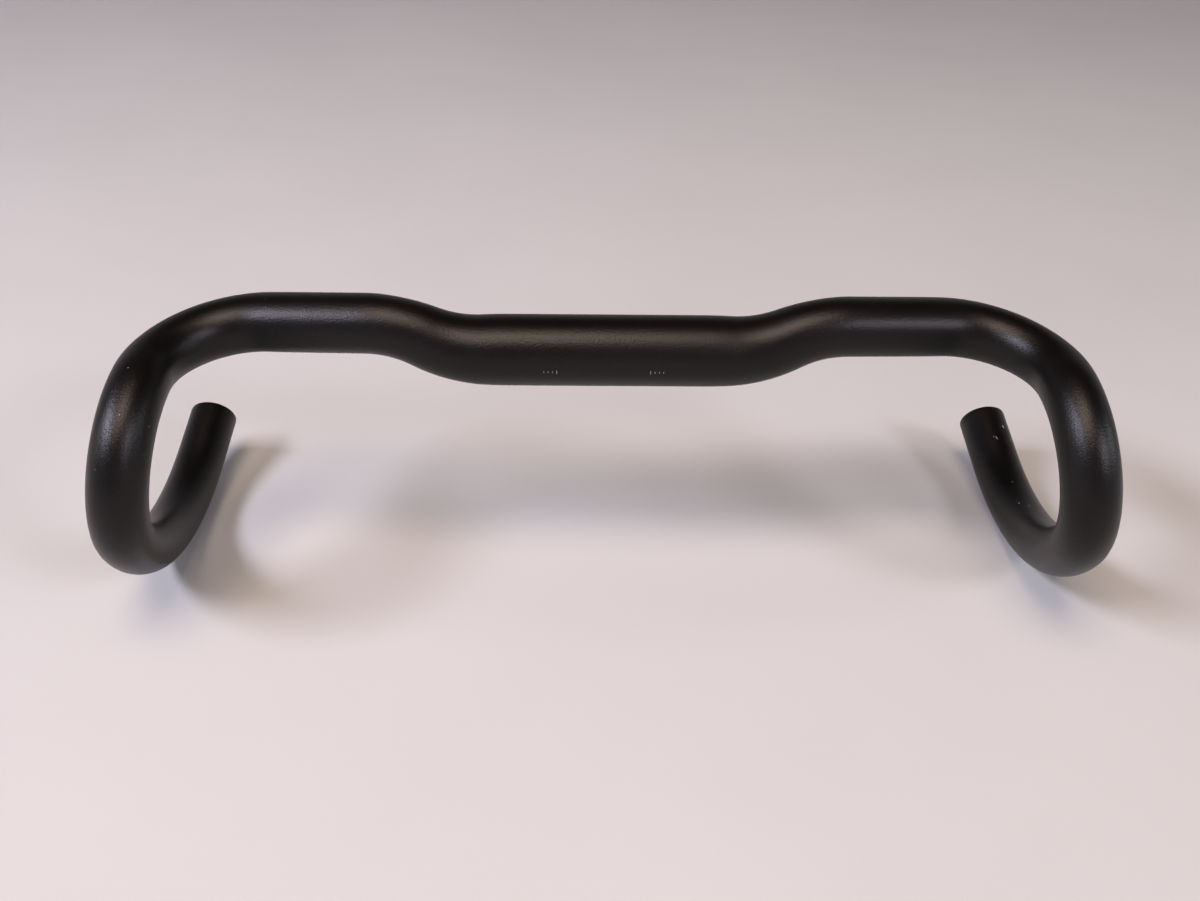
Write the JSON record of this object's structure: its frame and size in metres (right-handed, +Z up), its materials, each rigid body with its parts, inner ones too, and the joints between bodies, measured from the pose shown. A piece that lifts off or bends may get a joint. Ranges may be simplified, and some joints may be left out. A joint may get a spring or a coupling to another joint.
{
  "type": "drop handlebar with raised tops",
  "caption": "Bicycle drop handlebar whose side tops rise gently from a round clamp zone and whose hooks curve forward, down and back to flared open ends.",
  "frame": {"origin": "middle of the clamp zone, on the tube's centreline", "axes": "+X along the clamp zone, -Y forward to the hooks, +Z up, with the ramps about level as the bar is mounted"},
  "size_m": [0.4474, 0.1633, 0.1367],
  "materials": {
    "satin_black_tube": "satin"
  },
  "bodies": {
    "root": {"handlebar_tube": "satin_black_tube"}
  },
  "joints": []
}
